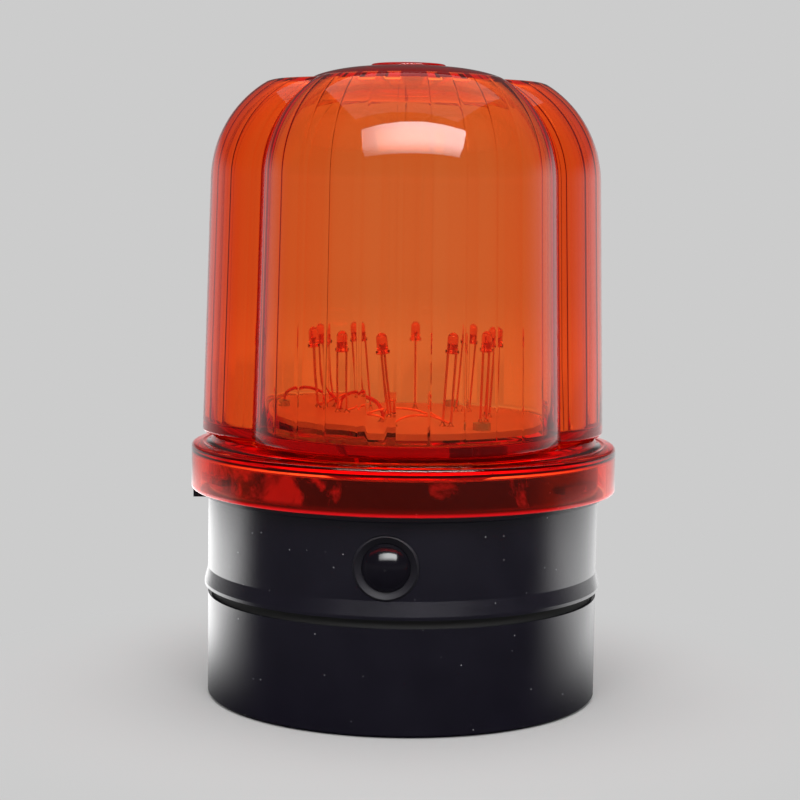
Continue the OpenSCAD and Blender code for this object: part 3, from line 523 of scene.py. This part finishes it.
circle_row(NECK_BORE + BORE_EDGE, SEAT_Z)
circle_row(SKIRT_BORE - SEAT_EDGE, SEAT_Z)
circle_row(SKIRT_BORE, SEAT_Z - SEAT_EDGE)
for z in np.linspace(SEAT_Z - 1, SKIRT_Z + 1, 7):
    circle_row(SKIRT_BORE, z)
circle_row(SKIRT_BORE, SKIRT_Z + EDGE)
print("lens inside:", len(rows) - outside_rows, "rows")

# %% [markdown]
# The columns stand close together at the ridges and evenly elsewhere, so a ridge keeps its shape without many more
# faces. One third of the circle is laid out and repeated. Where the outside ends and the inside begins, two flat
# faces close the poles instead of a row of quads.

# %% Lens: the mesh
EVEN_COLUMNS, LENS_SMOOTH = 120, 32.0
RIDGE_COLUMNS = np.array([-1.9, -0.8, 0.0, 0.8, 1.9]) * RIDGE_WIDTH
even = np.linspace(-HALF_LOBE, HALF_LOBE, EVEN_COLUMNS + 1)[:-1]
own_angle = np.radians(FLUTE_PITCH) * (np.arange(-6, 6)[:, None] + 0.5 + RIDGE_COLUMNS).ravel()
near = np.arctan2(WALL_R * np.sin(own_angle), LOBE_SHIFT + WALL_R * np.cos(own_angle))
near = near[np.abs(near) < HALF_LOBE - 0.004]
third = np.unique(np.round(np.concatenate([even, near]), 6))
theta = np.concatenate([third, third + FULL_LOBE, third + 2 * FULL_LOBE])
phi = (theta + HALF_LOBE + NUDGE) % FULL_LOBE - HALF_LOBE
profile = np.array(rows)
lens_rows, lens_columns = len(profile), len(theta)
r_row, z_row, is_lobe, flute = [profile[:, k][:, None] for k in range(4)]
lobed = lobe_outline(r_row, phi[None, :]) + flute * panel_depth(theta, phi)[None, :]
radius = np.where(is_lobe > 0.5, lobed, r_row)
turn = theta[None, :] + math.radians(LENS_AZ - 90.0)
lens_points = np.stack([radius * np.cos(turn), radius * np.sin(turn), z_row + 0 * radius], axis=-1).reshape(-1, 3)
quads = grid_faces(lens_rows, lens_columns, loop_rows=True)
between_poles = quads[:, 0] // lens_columns == outside_rows - 1
ring = np.arange(lens_columns)
poles = [((outside_rows - 1) * lens_columns + ring).tolist(), (outside_rows * lens_columns + ring)[::-1].tolist()]
lens_piece = make_mesh("lens_moulding", lens_points, quads[~between_poles].tolist() + poles, LENS_SMOOTH)
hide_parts("lens")
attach(lens_piece, "lens")
print("lens:", lens_rows, "rows,", lens_columns, "columns")

# %% [markdown]
# Clear coloured plastic is tinted in its depth, not on its surface: a thin wall looks orange, and where light runs
# a long way inside the wall only red is left. So the surface is plain clear gloss, and the colour is absorbed on
# the way through. The absorption keeps nearly all red, some green and almost no blue. Two painted marks stand in for
# light that a render follows only a few times through the wall. One is painted shade, a red tint on the surface at
# the foot of the lens. The other is painted light, a weak red glow that fills the plastic and leaves it at the lower
# edge of the skirt.

# %% Finish of the lens


def clear_plastic(name, tint, absorb, density, roughness, ior, foot=None, glow=None, rim=None):
    """A clear glossy surface with a faint surface tint, over a volume that absorbs by its distance. A foot gives a
    second tint, painted shade of a deeper red, and the two heights between which it passes into the first. A glow is
    a colour and a strength per metre of path. It is painted light, an emission in the plastic that stands in for
    light that has run a long way inside it and leaves at its edges. A rim is the strength of a painted glow on the
    surface at a cut edge, and the two heights between which that ends."""
    mat, tree = new_material(name)
    shader = tree.nodes["Principled BSDF"]
    shader.inputs["Base Color"].default_value = (*tint, 1.0)
    shader.inputs["Roughness"].default_value = roughness
    shader.inputs["IOR"].default_value = ior
    shader.inputs["Transmission Weight"].default_value = 1.0
    volume = add(tree, "ShaderNodeVolumeAbsorption", Color=(*absorb, 1.0), Density=density)
    if foot or rim:
        height = parts_of(tree, object_place(tree))["Z"]
    # Painted shade: a deeper red tint on the surface at the foot of the lens.
    if foot:
        share = ramp(tree, height, foot[1] * MM, foot[2] * MM)
        link(tree, mix_colour(tree, share, foot[0], tint), shader.inputs["Base Color"])
    if glow:
        # Painted light: a red emission inside the plastic.
        painted_edge_glow = add(tree, "ShaderNodeEmission", Color=(*glow[0], 1.0), Strength=glow[1])
        both = add(tree, "ShaderNodeAddShader")
        link(tree, volume.outputs[0], both.inputs[0])
        link(tree, painted_edge_glow.outputs[0], both.inputs[1])
        volume = both
    # Painted light: a red emission on the surface at the lower edge of the skirt.
    if rim:
        shader.inputs["Emission Color"].default_value = (*glow[0], 1.0)
        strength = ramp(tree, height, rim[1] * MM, rim[2] * MM, rim[0], 0.0)
        link(tree, strength, shader.inputs["Emission Strength"])
    link(tree, volume.outputs[0], tree.nodes["Material Output"].inputs["Volume"])
    return mat


# The foot tint is painted shade, and the glow and the rim are painted light.
lens_mat = clear_plastic("lens_red_clear", tint=(1.0, 1.0, 1.0), absorb=(0.997, 0.5, 0.01), density=708.0,
                         roughness=0.03, ior=1.5, foot=((1.0, 0.42, 0.52), FLANGE_Z, LEDGE_Z + 1.0),
                         glow=((1.0, 0.012, 0.03), 4.5), rim=(0.28, SKIRT_Z + 0.3, SKIRT_Z + 1.0))
lens_piece.data.materials.append(lens_mat)
print("lens finish:", lens_mat.name)

# %% [markdown]
# Most other pieces keep their solids. A finish is a Principled shader whose colour varies a little with a noise and
# whose small bumps come from a second, finer noise, all in the object's own coordinates. The black shells and the
# button have dust on them: a cell pattern puts a pale speck in the middle of some of its cells.

# %% Finishes of the solids: how one is made
SLOW_SCALE, ROUGH_SWING, BUMP_HEIGHT = 90.0, 0.15, 0.0001
DUST_SCALE, DUST_EDGE, DUST_GREY = 420.0, (0.03, 0.075), (0.5, 0.5, 0.52)


def moulded(name, colour, roughness, grain=0.0, grain_scale=3000.0, variation=0.12, metallic=0.0, dust=0.0, ior=1.5):
    """A solid finish: colour times a slow noise, roughness shifted by the same noise, fine bumps on top. Dust is the
    share of small cells that hold a pale speck."""
    mat, tree = new_material(name)
    shader = tree.nodes["Principled BSDF"]
    shader.inputs["Metallic"].default_value = metallic
    shader.inputs["IOR"].default_value = ior
    where = object_place(tree)
    slow = add(tree, "ShaderNodeTexNoise", Scale=SLOW_SCALE, Detail=4.0)
    link(tree, where, slow.inputs["Vector"])
    dark = tuple(c * (1 - variation) for c in colour)
    pale = tuple(min(c * (1 + variation), 1.0) for c in colour)
    tone = mix_colour(tree, slow.outputs["Fac"], dark, pale)
    rough = add(tree, "ShaderNodeMapRange")
    rough.inputs["To Min"].default_value = max(roughness * (1 - ROUGH_SWING), 0.02)
    rough.inputs["To Max"].default_value = min(roughness * (1 + ROUGH_SWING), 1.0)
    link(tree, slow.outputs["Fac"], rough.inputs["Value"])
    link(tree, rough.outputs["Result"], shader.inputs["Roughness"])
    if dust > 0:
        cells = add(tree, "ShaderNodeTexVoronoi", Scale=DUST_SCALE)
        link(tree, where, cells.inputs["Vector"])
        pick = add(tree, "ShaderNodeSeparateColor")
        link(tree, cells.outputs["Color"], pick.inputs[0])
        middle = ramp(tree, cells.outputs["Distance"], *DUST_EDGE, 1.0, 0.0)
        chosen = ramp(tree, pick.outputs[0], 1.0 - dust, 1.0 - dust + 0.01)
        tone = mix_colour(tree, calc(tree, "MULTIPLY", middle, chosen), tone, DUST_GREY)
    link(tree, tone, shader.inputs["Base Color"])
    if grain > 0:
        fine = add(tree, "ShaderNodeTexNoise", Scale=grain_scale, Detail=2.0)
        link(tree, where, fine.inputs["Vector"])
        bump = add(tree, "ShaderNodeBump", Strength=grain, Distance=BUMP_HEIGHT)
        link(tree, fine.outputs["Fac"], bump.inputs["Height"])
        link(tree, bump.outputs["Normal"], shader.inputs["Normal"])
    return mat


def dress(mat, *names):
    """Gives CAD nodes a finish in their own material slots."""
    for name in names:
        piece = nodes[name]
        piece.data.materials.clear()
        piece.data.materials.append(mat)
    print(mat.name, "on", len(names), "node(s)")


print("helpers: moulded, dress")

# %% [markdown]
# Each finish has a colour, a roughness and what makes it special, and is put on the nodes that are made of it. The
# black of the shells is bluish. Its high index of refraction gives the strong pale edges of a polished shell.

# %% Finishes of the solids: one by one
SHELL_COLOUR, SHELL_ROUGHNESS = (0.0078, 0.0064, 0.0140), 0.22
SHELL = {"grain": 0.22, "grain_scale": 2600.0, "variation": 0.35, "dust": 0.35, "ior": 1.9}
METAL = {"grain": 0.1, "metallic": 1.0}
FINISHES = [
    ("shell_black", SHELL_COLOUR, SHELL_ROUGHNESS, SHELL, ["battery_cup", "lens_catch"]),
    ("bezel_black", (0.008, 0.007, 0.012), 0.55, {"grain": 0.15, "ior": 1.35}, ["button_bezel"]),
    ("button_rubber", (0.008, 0.007, 0.011), 0.12, {"grain": 0.05, "dust": 0.3}, ["button_cap"]),
    ("seal_rubber", (0.012, 0.012, 0.012), 0.75, {"grain": 0.3}, ["cup_seal"]),
    ("gasket_silicone", (0.55, 0.46, 0.44), 0.5, {"grain": 0.2}, ["lens_gasket"]),
    ("switch_black", (0.03, 0.03, 0.035), 0.5, {"grain": 0.2}, ["switch_body"]),
    ("plunger_white", (0.7, 0.68, 0.62), 0.4, {}, ["switch_plunger"]),
    ("sheet_steel", (0.55, 0.55, 0.53), 0.34, METAL,
     ["switch_bracket", "contact_plates", "contact_link", "contact_springs", "magnet_plate"]),
    ("screw_zinc", (0.6, 0.6, 0.62), 0.3, METAL, ["bracket_screws", "board_screws", "tray_screws", "magnet_screw"]),
    ("board_cream", (0.80, 0.40, 0.30), 0.34, {"grain": 0.15, "grain_scale": 1800.0}, ["circuit_board"]),
    # The leads are shiny metal, and their red colour is a painted reflection of the red light inside the lens.
    ("lead_painted_red_reflection", (0.92, 0.27, 0.17), 0.35, {"metallic": 0.6}, ["led_leads"]),
    ("chip_black", (0.02, 0.02, 0.022), 0.5, {"grain": 0.3}, ["flasher_chip", "transistors"]),
    ("sleeve_dark_blue", (0.02, 0.025, 0.08), 0.3, {}, ["timing_capacitor"]),
    ("resistor_tan", (0.5, 0.33, 0.16), 0.45, {}, ["resistors"]),
    ("wire_red", (0.75, 0.04, 0.03), 0.4, {}, ["supply_wire", "switched_wire"]),
    ("wire_black", (0.015, 0.015, 0.015), 0.4, {}, ["return_wire"]),
    ("tray_black", (0.03, 0.03, 0.034), 0.5, {"grain": 0.3}, ["battery_tray"]),
    ("cell_metal", (0.45, 0.46, 0.48), 0.3, {"metallic": 1.0}, ["front_cell", "rear_cell"]),
    ("magnet_grey", (0.05, 0.05, 0.055), 0.55, {"grain": 0.5, "grain_scale": 1500.0}, ["magnet"]),
]
finish = {}
for name, colour, roughness, options, wearers in FINISHES:
    finish[name] = moulded(name, colour, roughness, **options)
    dress(finish[name], *wearers)

# %% [markdown]
# The skirt of the lens hangs over the top of the switch housing. Light and dark patches show through it there, as of
# old sealant on the black shell. They are a second colour that a noise lays over the shell's finish between two
# heights, mostly on the left.

# %% Finish of the switch housing
SEALANT = (0.68, 0.17, 0.28)
PATCH_SCALE, PATCH_LEVEL, LEFT_MORE, RIGHT_LESS = 75.0, (0.47, 0.62), 0.14, -0.10
FADE_IN, FADE_OUT = 1.5, 0.5


def smear(mat, low, high, colour):
    """Patches of a paste on a finish, between two heights: a noise above a level, mostly on the left of the part."""
    tree = mat.node_tree
    base = tree.nodes["Principled BSDF"].inputs["Base Color"]
    before = base.links[0].from_socket
    where = object_place(tree)
    xyz = parts_of(tree, where)
    patches = add(tree, "ShaderNodeTexNoise", Scale=PATCH_SCALE, Detail=5.0, Roughness=0.6, Distortion=0.4)
    link(tree, where, patches.inputs["Vector"])
    level = calc(tree, "ADD", patches.outputs["Fac"], ramp(tree, xyz["X"], -0.05, 0.0, LEFT_MORE, RIGHT_LESS))
    above = ramp(tree, xyz["Z"], low * MM, (low + FADE_IN) * MM)
    under = ramp(tree, xyz["Z"], high * MM, (high + FADE_OUT) * MM, 1.0, 0.0)
    share = calc(tree, "MULTIPLY", calc(tree, "MULTIPLY", ramp(tree, level, *PATCH_LEVEL), above), under)
    link(tree, mix_colour(tree, share, before, colour), base)


smeared_shell = moulded("shell_smeared", SHELL_COLOUR, SHELL_ROUGHNESS, **SHELL)
smear(smeared_shell, SKIRT_Z + 0.6, SEAT_Z, SEALANT)
dress(smeared_shell, "switch_housing")

# %% [markdown]
# Ten small LEDs stand in a ring on long bare leads. They were bent by hand, so each leans its own way. The same
# numbers that placed the solids give each LED its frame, so the new bodies sit on the leads of the CAD model. LEDs
# and solder joints are round, so one helper turns a profile about an axis for all of them.

# %% LEDs: frames and shapes of revolution
LED_RING, LED_AZ, LED_COUNT, LEAD_L, LEAD_PITCH, LED_LEAN, LED_SPIN = 22.8, -75.6, 10, 18.5, 2.54, 4.0, 40.0
LED_SWAY = [1, 4, -6, 2, -5, 0, -4, 1, 5, 3]
BOARD_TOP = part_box("circuit_board")[1][2] / MM


def turned(axis, degrees):
    """A 3 x 3 turn about x, y or z."""
    return np.array(Matrix.Rotation(math.radians(degrees), 3, axis))


def led_frame(k):
    """Place and turn of LED number k: out on the ring at its azimuth, leaned outwards, swayed, then spun."""
    az = LED_AZ + k * 360.0 / LED_COUNT
    foot = np.array([LED_RING * math.sin(math.radians(az)), -LED_RING * math.cos(math.radians(az)), BOARD_TOP])
    return foot, turned("Z", az) @ turned("Y", LED_SWAY[k]) @ turned("X", LED_LEAN) @ turned("Z", LED_SPIN * k)


def lead_point(k, side, height):
    """A point on a lead of LED number k: half the pitch to one side of its foot, at a height along the lead."""
    foot, turn = led_frame(k)
    return foot + turn @ np.array([side * LEAD_PITCH / 2, 0.0, height])


def revolve(profile, columns):
    """Points and faces of a closed body of revolution about z: each profile point (radius, height) goes round a
    circle, and the first and last ring are closed by one flat face each."""
    profile = np.asarray(profile, dtype=float)
    a = np.linspace(0.0, 2 * np.pi, columns, endpoint=False)
    points = np.stack([profile[:, :1] * np.cos(a), profile[:, :1] * np.sin(a), profile[:, 1:] + 0 * a], axis=-1)
    return points.reshape(-1, 3), capped_faces(len(profile), columns)


def joined(shapes):
    """Joins (points, faces) pairs into one pair."""
    points, faces, start = [], [], 0
    for p, f in shapes:
        points.append(np.asarray(p))
        faces += [[start + c for c in face] for face in f]
        start += len(p)
    return np.vstack(points), faces


print("LED ring radius", LED_RING, "mm, board top at", round(BOARD_TOP, 2), "mm")

# %% [markdown]
# A bullet LED is a clear epoxy body of revolution with a rim at its foot and a round nose. Inside it are two flat
# lead ends: a thin post, and an anvil with a dish for the chip. One profile each is turned for the body, the post and
# the anvil, the lead ends are pressed flat, and ten copies are carried into the frames.

# %% LEDs: bodies and lead ends
LED_R, LED_RIM_R, NOSE_Z = 1.5, 1.9, 3.8
SMOOTH_ANGLE, LED_COLUMNS, ANVIL_COLUMNS, POST_COLUMNS = 40.0, 40, 16, 12
nose = [(LED_R * math.cos(a), NOSE_Z + LED_R * math.sin(a)) for a in np.linspace(0.0, math.pi / 2 - 0.06, 14)]
led_profile = [(LED_R, 0.0), (1.82, 0.06), (LED_RIM_R, 0.14), (LED_RIM_R, 0.78), (1.82, 0.88), (1.56, 0.92),
               (LED_R, 1.0), (LED_R, 2.4), *nose]
led_points, led_faces = revolve(led_profile, LED_COLUMNS)
anvil = revolve([(0.36, 0.05), (0.36, 1.3), (0.62, 2.1), (0.62, 2.45), (0.52, 2.47), (0.2, 2.2), (0.03, 2.18)],
                ANVIL_COLUMNS)
post = revolve([(0.2, 0.05), (0.2, 1.5), (0.3, 2.0), (0.3, 2.5), (0.05, 2.55)], POST_COLUMNS)
LEAD_ENDS = [(anvil, (-0.45, 0.0, 0.0), (1.25, 0.8, 1.0)), (post, (0.72, 0.0, 0.0), (0.9, 0.8, 1.0))]
up = np.array([0.0, 0.0, LEAD_L])
bodies, cores = [], []
for k in range(LED_COUNT):
    foot, turn = led_frame(k)
    bodies.append(((led_points + up) @ turn.T + foot, led_faces))
    for (points, faces), offset, flat in LEAD_ENDS:
        cores.append(((points * np.array(flat) + np.array(offset) + up) @ turn.T + foot, faces))
led_clear = clear_plastic("led_clear", tint=(1.0, 0.66, 0.6), absorb=(1.0, 0.3, 0.2), density=420.0,
                          roughness=0.05, ior=1.5)
led_bodies = make_mesh("led_bodies", *joined(bodies), SMOOTH_ANGLE)
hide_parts(*[f"led_{k}" for k in range(1, LED_COUNT + 1)])
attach(led_bodies, "housing")
led_bodies.data.materials.append(led_clear)
led_cores = make_mesh("led_lead_ends", *joined(cores), SMOOTH_ANGLE)
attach(led_cores, "housing")
# The lead ends wear the finish of the leads, whose red colour is a painted reflection.
led_cores.data.materials.append(finish["lead_painted_red_reflection"])
print("LEDs:", LED_COUNT, "bodies,", len(cores), "lead ends")

# %% [markdown]
# Each lead and each wire end is soldered to the board. A solder joint is a small cone with a hollow flank, because
# the molten metal creeps up the lead. It is a body of revolution again, with a radius that falls with the square of
# the way up.

# %% Solder joints
JOINT_STEPS, JOINT_COLUMNS = 8, 18
LEAD_JOINT, WIRE_JOINT = (1.05, 0.36, 1.1), (1.5, 0.66, 1.2)
WIRE_SPOTS = [(-17.6, -7.0), (-4.4, -11.6)]


def solder_cone(x, y, foot_r, lead_r, height):
    """A joint at a spot on the board: the radius goes from foot_r to lead_r with the square of one minus the
    height's share."""
    t = np.linspace(0.0, 1.0, JOINT_STEPS)
    points, faces = revolve(np.stack([lead_r + (foot_r - lead_r) * (1 - t) ** 2, height * t], axis=1), JOINT_COLUMNS)
    return points + np.array([x, y, BOARD_TOP]), faces


joints = [solder_cone(*lead_point(k, side, 0.0)[:2], *LEAD_JOINT) for k in range(LED_COUNT) for side in (-1, 1)]
joints += [solder_cone(*spot, *WIRE_JOINT) for spot in WIRE_SPOTS]
solder = make_mesh("solder_joints", *joined(joints), SMOOTH_ANGLE)
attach(solder, "housing")
solder_dull = moulded("solder_dull", (0.42, 0.2, 0.16), 0.35, grain=0.2, grain_scale=2200.0, metallic=1.0)
solder.data.materials.append(solder_dull)
print("solder joints:", len(joints))

# %% [markdown]
# Bare jumper wires join the feet of neighbouring LEDs. They were bent by hand and lie as a loose tangle over the
# board. Each follows a straight line between two feet, pushed sideways and upwards by half a sine wave with sizes
# from a fixed table, and a small circle is carried along that path.

# %% Jumper wires
JUMPER_R, JUMPER_STEPS, JUMPER_SIDES, JUMPER_FOOT = 0.28, 26, 10, 0.7
JUMPS = [(0, 1), (1, 2), (2, 3), (9, 0), (8, 9), (0, 9), (1, 3)]
BENDS = np.random.default_rng(11).uniform([2.0, 1.6, -1.0], [7.5, 4.2, 1.0], (len(JUMPS), 3))
UP = np.array([0.0, 0.0, 1.0])


def tube(path, radius, sides):
    """Points and faces of a round wire. At each point of the path stands a circle, spanned by the level direction
    beside the path and by the direction square to both; the two ends are closed by flat faces."""
    along = np.gradient(path, axis=0)
    along /= np.linalg.norm(along, axis=1, keepdims=True)
    beside = np.cross(along, UP)
    beside /= np.linalg.norm(beside, axis=1, keepdims=True)
    over = np.cross(along, beside)
    a = np.linspace(0.0, 2 * np.pi, sides, endpoint=False)[None, :, None]
    points = path[:, None, :] + radius * (np.cos(a) * beside[:, None, :] + np.sin(a) * over[:, None, :])
    return points.reshape(-1, 3), capped_faces(len(path), sides)


def jumper_path(start, end, bend):
    """A path between two points: the straight line, plus a push towards the axis and a rise that both follow half a
    sine wave, plus a sideways wave of three half turns with a small size of its own."""
    t = np.linspace(0.0, 1.0, JUMPER_STEPS)[:, None]
    inward = -(start + end) * np.array([0.5, 0.5, 0.0])
    inward /= np.linalg.norm(inward)
    line = (1 - t) * start + t * end
    push = inward * (bend[0] * np.sin(np.pi * t) + bend[2] * np.sin(3 * np.pi * t))
    return line + push + UP * bend[1] * np.sin(np.pi * t)


jumpers = [tube(jumper_path(lead_point(a, 1, JUMPER_FOOT), lead_point(b, -1, JUMPER_FOOT), bend),
                JUMPER_R, JUMPER_SIDES)
           for (a, b), bend in zip(JUMPS, BENDS)]
jumper_wires = make_mesh("jumper_wires", *joined(jumpers), SMOOTH_ANGLE)
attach(jumper_wires, "housing")
# The jumper wires wear the finish of the leads, whose red colour is a painted reflection.
jumper_wires.data.materials.append(finish["lead_painted_red_reflection"])
print("jumper wires:", len(jumpers))
